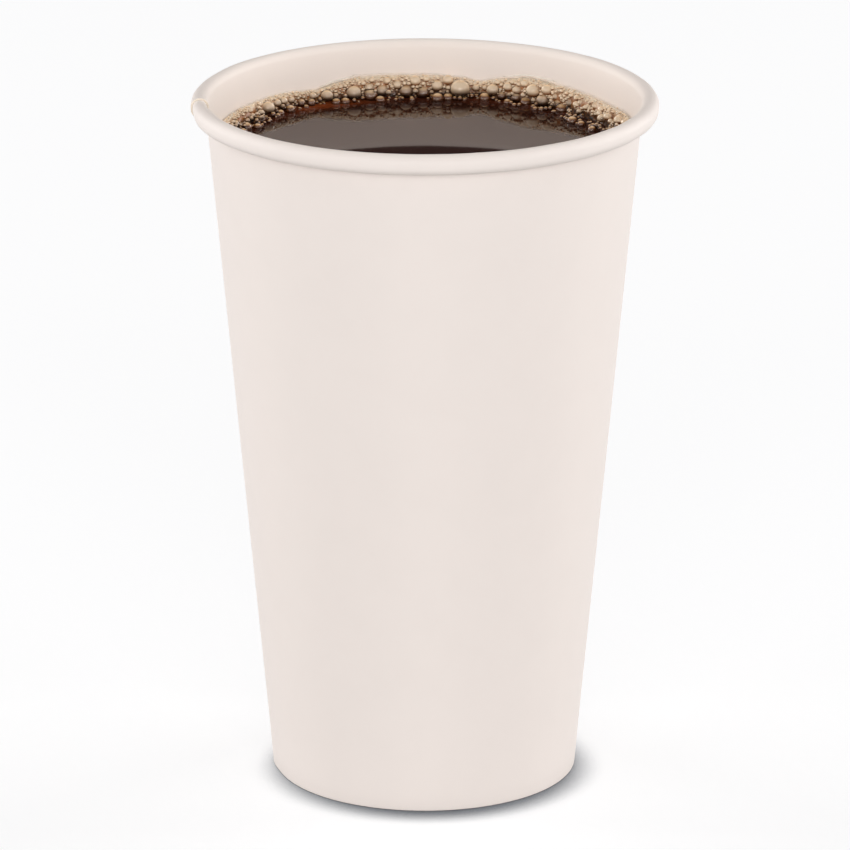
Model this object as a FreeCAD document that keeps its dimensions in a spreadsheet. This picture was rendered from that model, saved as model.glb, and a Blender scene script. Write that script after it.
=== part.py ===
import FreeCAD, Part
import os
from math import acos, cos, pi, radians, sin, tan
import Sketcher
from FreeCAD import Placement, Rotation, Vector

# A take-away paper cup of coffee, 16 fluid ounce size, in millimetres.
# The origin is the middle of the foot on the table and +Z is up. The viewer stands on the -Y side,
# and the glued side seam is at the viewer's left, near -X. Azimuths are in degrees from +X,
# counter-clockwise seen from above.

SHEET = "dimensions"

DIMENSIONS = {
    # Outline of the cup
    "rim_diameter": 90.0,
    "cup_height": 135.7,
    "foot_diameter": 59.1,
    # Rolled rim: an upright oval, its end tucked in beside the wall
    "curl_width": 3.45,
    "curl_side": 0.5,
    "tuck_gap": 0.15,
    # Sheet stock and the foot, where the sheet turns in and up behind the skirt of the bottom
    "board": 0.35,
    "foot_corner": 0.35,
    "margin_gap": 0.6,
    "glue_gap": 0.02,
    # Glued side seam, as arc lengths round the top of the wall
    "seam_azimuth": 183.4,
    "lap_width": 7.0,
    "lap_ramp": 10.0,
    # Bottom disc, with its turned-down skirt
    "disc_level": 9.4,
    "disc_board": 0.3,
    "disc_corner": 0.9,
    # Coffee, measured down from the top of the rim
    "headspace": 11.0,
    "wet_gap": 0.05,
    # Froth against the wall: a bank of fine foam and the larger bubbles in it
    "froth_width": 4.0,
    "froth_height": 3.8,
    "froth_crest": 0.8,
    "bubble_large": 4.2,
    "bubble_small": 2.4,
    "bubble_count": 60,
    "bubble_sink": 0.35,
    "bubble_gap": 0.3,
}

RAMP_STATIONS = 6
GOLDEN_SHARE = 0.618034

document = FreeCAD.newDocument("coffee_cup")


def make_sheet():
    """Write the driving dimensions into a spreadsheet, one named cell a row."""
    sheet = document.addObject("Spreadsheet::Sheet", SHEET)
    for row, (name, value) in enumerate(DIMENSIONS.items(), start=1):
        sheet.set(f"A{row}", name)
        sheet.set(f"B{row}", str(value))
        sheet.setAlias(f"B{row}", name)
    document.recompute()
    return sheet


def cell(name):
    """Expression for one cell of the spreadsheet."""
    return f"{SHEET}.{name}"


# Expressions that several pieces share

ROLL_RADIUS = f"({cell('curl_width')} / 2)"
ROLL_ACROSS = f"({cell('rim_diameter')} / 2 - {ROLL_RADIUS})"
ROLL_UP = f"({cell('cup_height')} - {ROLL_RADIUS})"
FOOT_RADIUS = f"({cell('foot_diameter')} / 2)"
# The wall's inner face starts at the foot and is tangent to the roll
LEAN_RUN = f"({ROLL_ACROSS} - {FOOT_RADIUS} + {cell('board')})"
LEAN_REACH = f"sqrt({LEAN_RUN} * {LEAN_RUN} + {ROLL_UP} * {ROLL_UP})"
WALL_ANGLE = f"(atan({LEAN_RUN} / {ROLL_UP}) - asin({ROLL_RADIUS} / {LEAN_REACH}))"
SKIRT_SPACE = f"({cell('disc_board')} + 2 * {cell('glue_gap')})"
MARGIN_TOP = f"({cell('disc_level')} - {cell('disc_corner')} - {cell('margin_gap')})"
COFFEE_BOTTOM = f"({cell('disc_level')} + {cell('wet_gap')})"
COFFEE_TOP = f"({cell('cup_height')} - {cell('headspace')})"
FROTH_BOTTOM = f"({COFFEE_TOP} + {cell('wet_gap')})"


def degrees_of_arc(length):
    """Expression for the angle that an arc of this length takes round the top of the wall."""
    return f"({length} / {ROLL_ACROSS} * 180 / pi)"


LAP_ANGLE = degrees_of_arc(cell("lap_width"))
RAMP_ANGLE = degrees_of_arc(cell("lap_ramp"))


def inner_radius(height, clearance):
    """Expression for the wall's inner radius at a height, less a clearance."""
    return (f"({FOOT_RADIUS} - {cell('board')} / cos({WALL_ANGLE})"
            f" + {height} * tan({WALL_ANGLE}) - {clearance})")


class Outline:
    """A closed outline in a sketch, drawn edge by edge, whose sizes are bound to expressions."""

    START, END, CENTRE = range(1, 4)
    X_AXIS, Y_AXIS = range(-1, -3, -1)
    ORIGIN = (-1, 1)

    def __init__(self, body, name, azimuth=None):
        self.sketch = body.newObject("Sketcher::SketchObject", name)
        upright = next(o for o in body.Origin.OriginFeatures if o.Role == "XZ_Plane")
        self.sketch.AttachmentSupport = [(upright, "")]
        self.sketch.MapMode = "FlatFace"
        if azimuth is not None:
            self.sketch.AttachmentOffset = Placement(Vector(), Rotation(Vector(0, 1, 0), 1))
            self.sketch.setExpression(".AttachmentOffset.Rotation.Angle", f"({azimuth}) * 1 deg")

    def value(self, expression):
        """The present value of an expression, as a first guess for the solver."""
        found = self.sketch.evalExpression(expression)
        return float(getattr(found, "Value", found))

    def line(self, start, end):
        """Add a straight edge between two points."""
        return self.sketch.addGeometry(Part.LineSegment(Vector(*start, 0), Vector(*end, 0)))

    def arc(self, centre, radius, first, last):
        """Add an arc, counter-clockwise between two angles in radians."""
        circle = Part.Circle(Vector(*centre, 0), Vector(0, 0, 1), radius)
        return self.sketch.addGeometry(Part.ArcOfCircle(circle, first, last))

    def tie(self, kind, *places):
        """Add a constraint without a size."""
        self.sketch.addConstraint(Sketcher.Constraint(kind, *places))

    def size(self, name, kind, *places, expression):
        """Add a named size and bind it to an expression."""
        value = self.value(expression)
        if kind == "Angle":
            value = radians(value)
        index = self.sketch.addConstraint(Sketcher.Constraint(kind, *places, value))
        self.sketch.renameConstraint(index, name)
        self.sketch.setExpression(f"Constraints.{name}", expression)


def draw_sheet_section(outline, offset):
    """Draw the cup sheet's section, moved outwards by the offset as a lap over the sheet below.

    On the wall the offset is away from the axis, inside the roll it is towards the roll's middle,
    and behind the skirt it is towards the axis.
    """
    start, end, centre = outline.START, outline.END, outline.CENTRE
    board = cell("board")
    outer_roll = f"({ROLL_RADIUS} - {offset})"
    inner_roll = f"({outer_roll} - {board})"
    outer_foot = f"({FOOT_RADIUS} + {offset} / cos({WALL_ANGLE}))"

    # First guess of every point, worked out from the same sizes
    guess = outline.value
    tilt = radians(guess(WALL_ANGLE))
    across = guess(ROLL_ACROSS)
    high = guess(ROLL_UP)
    low = high - guess(cell("curl_side"))
    big = guess(outer_roll)
    small = guess(inner_roll)
    thick = guess(board)
    corner = guess(cell("foot_corner"))
    foot = guess(outer_foot)
    margin = guess(MARGIN_TOP)
    wall_in = foot - thick
    margin_out = wall_in - guess(SKIRT_SPACE) - 2 * guess(offset)
    margin_in = margin_out - thick
    lean = tan(tilt)
    tuck = pi - tilt + acos((small - guess(cell("tuck_gap"))) / big)

    edge = {}
    edge["foot_outer"] = outline.arc((foot - corner, corner), corner, -pi / 2, -tilt)
    edge["wall_outer"] = outline.line((foot, corner), (across - small, high))
    edge["roll_top_inner"] = outline.arc((across, high), small, 0, pi - tilt)
    edge["roll_side_inner"] = outline.line((across + small, high), (across + small, low))
    edge["roll_low_inner"] = outline.arc((across, low), small, tuck, 2 * pi)
    edge["roll_end"] = outline.line(polar((across, low), small, tuck), polar((across, low), big, tuck))
    edge["roll_low_outer"] = outline.arc((across, low), big, tuck, 2 * pi)
    edge["roll_side_outer"] = outline.line((across + big, low), (across + big, high))
    edge["roll_top_outer"] = outline.arc((across, high), big, 0, pi - tilt)
    edge["wall_inner"] = outline.line((across - big, high), (wall_in, thick))
    edge["fold_inner"] = outline.line((wall_in, thick), (margin_out, thick))
    edge["margin_outer"] = outline.line((margin_out, thick), (margin_out + margin * lean, margin))
    edge["margin_top"] = outline.line((margin_out + margin * lean, margin),
                                      (margin_in + margin * lean, margin))
    edge["margin_inner"] = outline.line((margin_in + margin * lean, margin), (margin_in, corner))
    edge["foot_inner"] = outline.arc((margin_in + corner, corner), corner, pi - tilt, pi + pi / 2)
    edge["foot_flat"] = outline.line((margin_in + corner, 0), (foot - corner, 0))

    smooth = [("foot_flat", end, "foot_outer", start), ("foot_outer", end, "wall_outer", start),
              ("wall_outer", end, "roll_top_inner", end),
              ("roll_top_inner", start, "roll_side_inner", start),
              ("roll_side_inner", end, "roll_low_inner", end),
              ("roll_low_outer", end, "roll_side_outer", start),
              ("roll_side_outer", end, "roll_top_outer", start),
              ("roll_top_outer", end, "wall_inner", start),
              ("margin_inner", end, "foot_inner", start), ("foot_inner", end, "foot_flat", start)]
    for first, first_end, second, second_end in smooth:
        outline.tie("Tangent", edge[first], first_end, edge[second], second_end)
    sharp = [("roll_low_inner", start, "roll_end", start), ("roll_end", end, "roll_low_outer", start),
             ("wall_inner", end, "fold_inner", start), ("fold_inner", end, "margin_outer", start),
             ("margin_outer", end, "margin_top", start), ("margin_top", end, "margin_inner", start)]
    for first, first_end, second, second_end in sharp:
        outline.tie("Coincident", edge[first], first_end, edge[second], second_end)

    # The foot stands on the table, and the wall's outer face aims at the foot's outer edge there
    outline.tie("Horizontal", edge["foot_flat"])
    outline.tie("PointOnObject", edge["foot_flat"], start, outline.X_AXIS)
    outline.size("foot_outer_radius", "Radius", edge["foot_outer"], expression=cell("foot_corner"))
    outline.tie("Equal", edge["foot_outer"], edge["foot_inner"])
    aim = outline.line((foot, 0), (foot, corner))
    outline.sketch.setConstruction(aim, True)
    outline.tie("PointOnObject", aim, start, outline.X_AXIS)
    outline.tie("Coincident", aim, end, edge["wall_outer"], start)
    outline.tie("Parallel", aim, edge["wall_outer"])
    outline.size("foot_reach", "DistanceX", *outline.ORIGIN, aim, start, expression=outer_foot)

    # The roll: two half rounds on one upright line, and the end tucked in beside the wall
    outline.size("roll_across", "DistanceX", *outline.ORIGIN, edge["roll_top_inner"], centre,
                 expression=ROLL_ACROSS)
    outline.size("roll_up", "DistanceY", *outline.ORIGIN, edge["roll_top_inner"], centre,
                 expression=ROLL_UP)
    outline.size("roll_inner_radius", "Radius", edge["roll_top_inner"], expression=inner_roll)
    outline.size("roll_outer_radius", "Radius", edge["roll_top_outer"], expression=outer_roll)
    outline.tie("Coincident", edge["roll_top_inner"], centre, edge["roll_top_outer"], centre)
    outline.tie("Coincident", edge["roll_low_inner"], centre, edge["roll_low_outer"], centre)
    outline.tie("Vertical", edge["roll_side_inner"])
    outline.tie("Vertical", edge["roll_side_outer"])
    outline.tie("Equal", edge["roll_top_inner"], edge["roll_low_inner"])
    outline.size("roll_side", "DistanceY", edge["roll_side_inner"], end, edge["roll_side_inner"], start,
                 expression=cell("curl_side"))
    outline.tie("PointOnObject", edge["roll_low_inner"], centre, edge["roll_end"])
    outline.size("tuck", "Distance", edge["roll_low_outer"], start, edge["wall_outer"],
                 expression=cell("tuck_gap"))

    # The margin that is turned up behind the skirt, parallel to the wall
    for name in ("wall_inner", "margin_outer", "margin_inner"):
        outline.tie("Parallel", edge["wall_outer"], edge[name])
    outline.tie("Horizontal", edge["fold_inner"])
    outline.tie("Horizontal", edge["margin_top"])
    outline.size("fold_depth", "DistanceY", *outline.ORIGIN, edge["wall_inner"], end, expression=board)
    outline.size("margin_up", "DistanceY", *outline.ORIGIN, edge["margin_outer"], end,
                 expression=MARGIN_TOP)
    outline.size("skirt_space", "Distance", edge["margin_outer"], start, edge["wall_inner"],
                 expression=f"({SKIRT_SPACE} + 2 * {offset})")
    outline.size("margin_board", "Distance", edge["margin_inner"], start, edge["margin_outer"],
                 expression=board)


def polar(middle, radius, angle):
    """The point at an angle, in radians, on a circle."""
    return middle[0] + radius * cos(angle), middle[1] + radius * sin(angle)


def make_body(label):
    """A body of one piece, whose label is its name."""
    body = document.addObject("PartDesign::Body", label)
    body.Label = label
    body.Placement = Placement()
    return body


def upright_axis(body):
    """The body's own Z axis, as a feature's axis."""
    return (next(o for o in body.Origin.OriginFeatures if o.Role == "Z_Axis"), [""])


def revolve(body, name, outline, angle):
    """Revolve an outline counter-clockwise about the body's Z axis."""
    feature = body.newObject("PartDesign::Revolution", name)
    feature.Profile = outline.sketch
    feature.ReferenceAxis = upright_axis(body)
    feature.setExpression("Angle", f"({angle}) * 1 deg")
    outline.sketch.Visibility = False
    return feature


def make_side_wall():
    """The cup's sheet: tapered wall, side lap, rolled rim and the margin folded in at the foot.

    The sheet's end at the viewer's side of the seam runs out over its thickness, and passes
    behind the other end, whose cut edge shows inside the cup and on top of the rolled rim.
    """
    body = make_body("side_wall")
    seam = cell("seam_azimuth")
    board = cell("board")

    lap = Outline(body, "lap_section", f"{seam} - {LAP_ANGLE}")
    draw_sheet_section(lap, board)
    document.recompute()
    revolve(body, "lap", lap, LAP_ANGLE)

    stations = []
    for station in range(RAMP_STATIONS + 1):
        share = f"{station} / {RAMP_STATIONS}"
        outline = Outline(body, f"ramp_section_{station}", f"{seam} + {RAMP_ANGLE} * {share}")
        draw_sheet_section(outline, f"({board} * (1 - {share}))")
        stations.append(outline.sketch)
    document.recompute()
    ramp = body.newObject("PartDesign::AdditiveLoft", "ramp")
    ramp.Profile = stations[0]
    ramp.Sections = stations[1:]
    ramp.Ruled = True

    turn = Outline(body, "turn_section", f"{seam} + {RAMP_ANGLE}")
    draw_sheet_section(turn, "0")
    document.recompute()
    revolve(body, "turn", turn, f"360 - {RAMP_ANGLE}")
    return body


def make_bottom_disc():
    """The disc that closes the cup, with a skirt turned down into the folded foot."""
    body = make_body("bottom_disc")
    outline = Outline(body, "disc_section")
    start, end = outline.START, outline.END
    skirt_foot = f"({cell('board')} + {cell('glue_gap')})"
    skirt_radius = inner_radius(skirt_foot, cell("glue_gap"))
    under = f"({cell('disc_level')} - {cell('disc_board')})"

    guess = outline.value
    lean = radians(guess(WALL_ANGLE))
    low = guess(skirt_foot)
    top = guess(cell("disc_level"))
    thick = guess(cell("disc_board"))
    corner = guess(cell("disc_corner"))
    reach = guess(skirt_radius)
    side = reach + (top - corner - low) * tan(lean)

    skirt_outer = outline.line((reach, low), (side, top - corner))
    corner_outer = outline.arc((side - corner, top - corner), corner, -lean, pi / 2)
    top_face = outline.line((side - corner, top), (0, top))
    middle = outline.line((0, top), (0, top - thick))
    under_face = outline.line((0, top - thick), (side - corner, top - thick))
    corner_inner = outline.arc((side - corner, top - corner), corner - thick, -lean, pi / 2)
    skirt_inner = outline.line((side - thick, top - corner), (reach - thick, low))
    skirt_end = outline.line((reach - thick, low), (reach, low))

    outline.tie("Tangent", skirt_outer, end, corner_outer, start)
    outline.tie("Tangent", corner_outer, end, top_face, start)
    outline.tie("Coincident", top_face, end, middle, start)
    outline.tie("Coincident", middle, end, under_face, start)
    outline.tie("Tangent", under_face, end, corner_inner, end)
    outline.tie("Tangent", corner_inner, start, skirt_inner, start)
    outline.tie("Coincident", skirt_inner, end, skirt_end, start)
    outline.tie("Coincident", skirt_end, end, skirt_outer, start)
    outline.tie("Horizontal", top_face)
    outline.tie("Horizontal", under_face)
    outline.tie("Horizontal", skirt_end)
    outline.tie("Parallel", skirt_outer, skirt_inner)
    outline.tie("Vertical", middle)
    outline.tie("PointOnObject", middle, start, outline.Y_AXIS)
    outline.tie("Coincident", corner_inner, outline.CENTRE, corner_outer, outline.CENTRE)
    outline.size("skirt_foot", "DistanceY", *outline.ORIGIN, skirt_outer, start, expression=skirt_foot)
    outline.size("skirt_radius", "DistanceX", *outline.ORIGIN, skirt_outer, start,
                 expression=skirt_radius)
    outline.size("lean", "Angle", skirt_outer, expression=f"90 deg - {WALL_ANGLE}")
    outline.size("disc_level", "DistanceY", *outline.ORIGIN, top_face, start,
                 expression=cell("disc_level"))
    outline.size("under", "DistanceY", *outline.ORIGIN, under_face, start, expression=under)
    outline.size("corner", "Radius", corner_outer, expression=cell("disc_corner"))
    document.recompute()
    revolve(body, "disc", outline, "360")
    return body


def make_coffee():
    """The coffee: what fills the cup from the bottom disc up to its level."""
    coffee = document.addObject("Part::Cone", "coffee")
    coffee.setExpression("Radius1", inner_radius(COFFEE_BOTTOM, cell("wet_gap")))
    coffee.setExpression("Radius2", inner_radius(COFFEE_TOP, cell("wet_gap")))
    coffee.setExpression("Height", f"{COFFEE_TOP} - {COFFEE_BOTTOM}")
    coffee.setExpression(".Placement.Base.z", COFFEE_BOTTOM)
    return coffee


def make_froth_bank():
    """The bank of fine foam all round the wall, highest at the wall."""
    body = make_body("froth_bank")
    outline = Outline(body, "bank_section")
    start, end = outline.START, outline.END
    bank_top = f"({FROTH_BOTTOM} + {cell('froth_height')})"
    foot_out = inner_radius(FROTH_BOTTOM, cell("wet_gap"))
    top_out = inner_radius(bank_top, cell("wet_gap"))
    foot_in = f"({foot_out} - {cell('froth_width')})"
    crest_in = f"({top_out} - {cell('froth_crest')})"

    guess = outline.value
    low = guess(FROTH_BOTTOM)
    high = guess(bank_top)
    corners = [(guess(foot_in), low), (guess(foot_out), low), (guess(top_out), high),
               (guess(crest_in), high)]
    edges = [outline.line(first, second)
             for first, second in zip(corners, corners[1:] + corners[:1])]
    for first, second in zip(edges, edges[1:] + edges[:1]):
        outline.tie("Coincident", first, end, second, start)
    reaches = [foot_in, foot_out, top_out, crest_in]
    heights = [FROTH_BOTTOM, FROTH_BOTTOM, bank_top, bank_top]
    for number, (edge, reach, height) in enumerate(zip(edges, reaches, heights)):
        outline.size(f"reach_{number}", "DistanceX", *outline.ORIGIN, edge, start, expression=reach)
        outline.size(f"height_{number}", "DistanceY", *outline.ORIGIN, edge, start, expression=height)
    document.recompute()
    revolve(body, "bank", outline, "360")
    return body


def make_froth():
    """The froth: the bank with its larger bubbles, trimmed flat where it lies on the coffee.

    The bubbles go round in turn: even ones against the wall, odd ones a bubble further in and
    lower. Their sizes vary between the small and the large one, by steps of the golden share.
    """
    bank = make_froth_bank()
    bubbles = []
    for number in range(int(DIMENSIONS["bubble_count"])):
        share = number * GOLDEN_SHARE % 1
        growth = f"({cell('bubble_large')} - {cell('bubble_small')}) * {share:.4f}"
        radius = f"(({cell('bubble_small')} + {growth}) / 2)"
        azimuth = f"(360 deg / {cell('bubble_count')} * ({number} + 0.5))"
        bubbles.append(make_bubble(number, radius, azimuth, further_in=number % 2 == 1))
    block = document.addObject("Part::MultiFuse", "froth_block")
    block.Shapes = [bank] + bubbles
    trim = document.addObject("Part::Cylinder", "coffee_trim")
    trim.setExpression("Radius", ROLL_ACROSS)
    trim.setExpression("Height", FROTH_BOTTOM)
    froth = document.addObject("Part::Cut", "froth")
    froth.Base = block
    froth.Tool = trim
    return froth


def make_bubble(number, radius, azimuth, further_in):
    """One bubble, just clear of the wall or one bubble further in and down on the coffee."""
    bubble = document.addObject("Part::Sphere", f"bubble_{number}")
    bubble.setExpression("Radius", radius)
    sink = f"({radius} * (1 - {cell('bubble_sink')}))"
    if further_in:
        height = f"({FROTH_BOTTOM} + {sink})"
        reach = inner_radius(height, f"{cell('froth_width')}")
    else:
        height = f"({FROTH_BOTTOM} + {cell('froth_height')} - {radius} / 2)"
        reach = inner_radius(height, f"({radius} + {cell('bubble_gap')}) / cos({WALL_ANGLE})")
    bubble.setExpression(".Placement.Base.x", f"{reach} * cos({azimuth})")
    bubble.setExpression(".Placement.Base.y", f"{reach} * sin({azimuth})")
    bubble.setExpression(".Placement.Base.z", height)
    return bubble


def check(pieces):
    """Stop if any object failed, or if a piece has no valid shape."""
    for item in document.Objects:
        if "Invalid" in item.State or "Error" in item.State:
            raise RuntimeError(f"{item.Label} failed: {item.State}")
    for piece in pieces:
        if piece.Shape.isNull() or not piece.Shape.isValid():
            raise RuntimeError(f"{piece.Label} has no valid shape")


def export(pieces):
    """Write each piece to a file of its own name."""
    os.makedirs("parts", exist_ok=True)
    for piece in pieces:
        piece.Shape.exportStep(f"parts/{piece.Label}.step")
        print(f"{piece.Label}: {len(piece.Shape.Solids)} solid, {piece.Shape.Volume:.1f} cubic mm")


make_sheet()
cup_pieces = [make_side_wall(), make_bottom_disc(), make_coffee(), make_froth()]
document.recompute()
check(cup_pieces)
export(cup_pieces)
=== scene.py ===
import logging
import random
from dataclasses import dataclass, field
from math import acos, asin, atan, cos, degrees, exp, hypot, pi, radians, sin, tan, tau
from typing import Callable, Iterable, Sequence

import bmesh
import bpy
import numpy as np
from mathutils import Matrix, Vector, noise


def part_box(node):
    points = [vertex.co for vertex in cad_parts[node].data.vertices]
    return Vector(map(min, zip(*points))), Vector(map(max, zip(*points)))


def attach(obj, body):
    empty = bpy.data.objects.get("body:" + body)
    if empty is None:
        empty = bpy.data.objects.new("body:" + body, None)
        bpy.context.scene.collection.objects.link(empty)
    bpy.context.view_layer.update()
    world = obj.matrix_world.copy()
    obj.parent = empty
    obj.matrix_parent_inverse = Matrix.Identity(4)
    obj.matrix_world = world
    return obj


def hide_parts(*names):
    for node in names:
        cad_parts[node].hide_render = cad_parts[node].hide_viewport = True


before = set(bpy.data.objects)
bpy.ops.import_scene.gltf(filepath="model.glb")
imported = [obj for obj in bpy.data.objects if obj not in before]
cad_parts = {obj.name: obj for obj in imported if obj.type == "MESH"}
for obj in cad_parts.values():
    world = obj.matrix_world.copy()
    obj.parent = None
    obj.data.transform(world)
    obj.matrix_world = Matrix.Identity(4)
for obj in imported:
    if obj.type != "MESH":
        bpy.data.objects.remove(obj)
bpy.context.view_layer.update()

# A take-away paper cup of black coffee with a ring of froth. Everything here is in metres, and the
# sizes below are written in millimetres. +Z is up, the viewer stands on the -Y side, and azimuths
# are in degrees from +X, counter-clockwise seen from above.

MM = 0.001
LOG = logging.getLogger("coffee_cup")
ROOT_BODY = "root"
WATER_IOR = 1.33
BLACK = (0.0, 0.0, 0.0, 1.0)
SHOWING_RAYS = ("Is Camera Ray", "Is Glossy Ray", "Is Transmission Ray")

Material = bpy.types.Material
Point = tuple[float, float]
Place = tuple[float, float, float, float]


def srgb(red: int, green: int, blue: int) -> tuple[float, float, float, float]:
    """A colour as it looks on a screen, 0 to 255, as the linear values that a shader takes."""

    def linear(channel: int) -> float:
        """One channel, made linear."""
        share = channel / 255
        return share / 12.92 if share <= 0.04045 else ((share + 0.055) / 1.055) ** 2.4

    return linear(red), linear(green), linear(blue), 1.0


def smooth_step(low: float, high: float, value: float) -> float:
    """0 below low, 1 above high, and an even S between them."""
    share = min(max((value - low) / (high - low), 0.0), 1.0)
    return share * share * (3 - 2 * share)


def math_node(operation: str, last: bool = False) -> Callable[..., "Wire"]:
    """A method of a wire that adds a Math node, on itself first or last and on other values."""

    def method(wire: "Wire", *others: "Wire | float") -> "Wire":
        """Add the node."""
        values = (*others, wire) if last else (wire, *others)
        return wire.tree.wired("ShaderNodeMath", dict(enumerate(values)), operation=operation)

    return method


class Wire:
    """A socket that can stand in a Python expression, which adds its Math nodes."""

    def __init__(self, tree: "Tree", socket: bpy.types.NodeSocket) -> None:
        self.tree = tree
        self.socket = socket

    __add__ = __radd__ = math_node("ADD")
    __sub__ = math_node("SUBTRACT")
    __rsub__ = math_node("SUBTRACT", last=True)
    __mul__ = __rmul__ = math_node("MULTIPLY")
    root = math_node("SQRT")
    most = math_node("MAXIMUM")

    def step(self, low: float, high: float) -> "Wire":
        """0 at low, 1 at high, and an even S between them; low may be the larger."""
        return self.tree.wired("ShaderNodeMapRange",
                               {"Value": self, "From Min": low, "From Max": high},
                               interpolation_type="SMOOTHSTEP")


class Tree:
    """A node tree, with one method that makes every node."""

    def __init__(self, tree: bpy.types.NodeTree) -> None:
        self.tree = tree
        self.tree.nodes.clear()

    def node(self, kind: str, sockets: dict | None = None, **settings: str | int) -> bpy.types.Node:
        """Add a node.

        Args:
            kind: The node's type.
            sockets: Values or wires, by the socket's number, identifier or name.
            settings: Properties of the node, set before its sockets.

        Returns:
            The new node.
        """
        made = self.tree.nodes.new(kind)
        for name, value in settings.items():
            setattr(made, name, value)
        for name, value in (sockets or {}).items():
            socket = self._socket(made.inputs, name)
            if isinstance(value, Wire):
                self.tree.links.new(value.socket, socket)
            else:
                socket.default_value = value
        return made

    @staticmethod
    def _socket(sockets: bpy.types.NodeInputs, name: str | int) -> bpy.types.NodeSocket:
        """The socket with this number, or the one in use with this identifier or name."""
        if isinstance(name, int):
            return sockets[name]
        found = next((s for s in sockets if s.identifier == name and s.enabled), None)
        return found or sockets[name]

    def wire(self, node: bpy.types.Node, output: str | int) -> Wire:
        """A node's output, for an expression or a link."""
        return Wire(self, self._socket(node.outputs, output))

    def wired(self, kind: str, sockets: dict | None = None, output: str | int = 0,
              **settings: str | int) -> Wire:
        """Add a node, as node() does, and return one of its outputs."""
        return self.wire(self.node(kind, sockets, **settings), output)


class Shader(Tree):
    """The node tree of one material."""

    def __init__(self, name: str) -> None:
        self.material = bpy.data.materials.new(name)
        self.material.use_nodes = True
        super().__init__(self.material.node_tree)

    def place(self) -> Wire:
        """Object coordinates, in metres."""
        return self.wired("ShaderNodeTexCoord", output="Object")

    def part(self, vector: Wire, axis: str) -> Wire:
        """The X, Y or Z of a vector."""
        return self.wired("ShaderNodeSeparateXYZ", {0: vector}, axis)

    def noise(self, vector: Wire, scale: float, detail: float = 2.0) -> Wire:
        """Noise from 0 to 1, with scale waves to the metre."""
        return self.wired("ShaderNodeTexNoise",
                          {"Vector": vector, "Scale": scale, "Detail": detail}, "Fac")

    def blend(self, factor: Wire | float, first: Wire | tuple, second: Wire | tuple) -> Wire:
        """Mix two colours: the first at 0, the second at 1."""
        return self.wired("ShaderNodeMix",
                          {"Factor_Float": factor, "A_Color": first, "B_Color": second},
                          "Result_Color", data_type="RGBA")

    def attribute(self, name: str) -> Wire:
        """A number stored on the mesh."""
        return self.wired("ShaderNodeAttribute", output="Fac", attribute_name=name)

    def bump(self, height: Wire, distance: float, strength: float) -> Wire:
        """A normal bent by a height."""
        return self.wired("ShaderNodeBump",
                          {"Height": height, "Distance": distance, "Strength": strength})

    def finish(self, sockets: dict) -> Material:
        """Add the surface, with these values or wires on a Principled BSDF, and the output."""
        surface = self.wired("ShaderNodeBsdfPrincipled", sockets)
        self.node("ShaderNodeOutputMaterial", {"Surface": surface})
        return self.material


@dataclass(frozen=True)
class BoardFinish:
    """Coated cup board: smooth, off-white, faintly mottled, and painted a little lighter and warmer
    on its lined side as painted light for the cup's shaded inside.
    """

    face: tuple = srgb(241, 231, 225)
    shade: tuple = srgb(240, 230, 224)
    # Painted light: the lined side is lighter and warmer than the face, for the light the inside of
    # the cup lacks.
    painted_light_lining: tuple = srgb(253, 241, 232)
    mottle_scale: float = 130.0
    mottle_span: Point = (0.35, 0.75)
    fibre_scale: float = 1500.0
    fibre_height: float = 0.004 * MM
    roughness: float = 0.5
    gloss: float = 0.15

    def build(self) -> Material:
        """The board's material."""
        shader = Shader("cup_board")
        place = shader.place()
        mottle = shader.noise(place, self.mottle_scale, 4.0)
        fibre = shader.noise(place, self.fibre_scale, 3.0)
        outside = shader.blend(mottle.step(*self.mottle_span), self.face, self.shade)
        return shader.finish({
            # The lined side takes the painted light colour.
            "Base Color": shader.blend(shader.attribute("lined_side"), outside, self.painted_light_lining),
            "Roughness": self.roughness + 0.06 * (mottle - 0.5),
            "Normal": shader.bump(fibre, self.fibre_height, 0.5),
            "Specular IOR Level": self.gloss,
        })


@dataclass(frozen=True)
class CutEdgeFinish:
    """The raw, uncoated edge of the cut board."""

    face: tuple = srgb(246, 236, 222)
    shade: tuple = srgb(232, 216, 196)
    layer_scale: float = 9000.0
    roughness: float = 0.85

    def build(self) -> Material:
        """The cut edge's material."""
        shader = Shader("cut_edge")
        plies = shader.noise(shader.place(), self.layer_scale)
        return shader.finish({
            "Base Color": shader.blend(plies, self.face, self.shade),
            "Roughness": self.roughness,
        })


@dataclass(frozen=True)
class CoffeeFinish:
    """Still black coffee: dark and glossy, painted redder near the wall and in a glow under the
    froth, as painted light for light that comes through the thin coffee.
    """

    deep: tuple = srgb(49, 24, 17)
    # Painted light: the redder edge stands for light through the thin coffee beside the white wall.
    edge: tuple = srgb(92, 44, 26)
    # Painted light: a glowing patch under the froth, for light that comes through it.
    painted_glow: tuple = srgb(152, 74, 36)
    painted_glow_place: Point = (-17.0 * MM, 35.0 * MM)
    painted_glow_reach: float = 15.0 * MM
    gloss_tint: tuple = srgb(255, 200, 168)
    ripple_scale: float = 90.0
    ripple_height: float = 0.02 * MM
    edge_span: Point = (34 * MM, 40 * MM)
    roughness: float = 0.04
    gloss: float = 0.3

    def build(self) -> Material:
        """The coffee's material."""
        shader = Shader("coffee_surface")
        place = shader.place()
        across = shader.part(place, "X")
        along = shader.part(place, "Y")
        radius = (across * across + along * along).root()
        aside, beyond = across - self.painted_glow_place[0], along - self.painted_glow_place[1]
        away = (aside * aside + beyond * beyond).root()
        rim = radius.step(*self.edge_span)
        # Painted light towards the wall and in the glow patch.
        thin = shader.blend(away.step(self.painted_glow_reach, 2 * MM), self.edge, self.painted_glow)
        ripple = shader.noise(place, self.ripple_scale, 1.0)
        return shader.finish({
            "Base Color": shader.blend(rim, self.deep, thin),
            "Roughness": self.roughness,
            "Normal": shader.bump(ripple, self.ripple_height, 0.4),
            "IOR": WATER_IOR,
            "Specular IOR Level": self.gloss,
            "Specular Tint": self.gloss_tint,
        })


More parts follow.
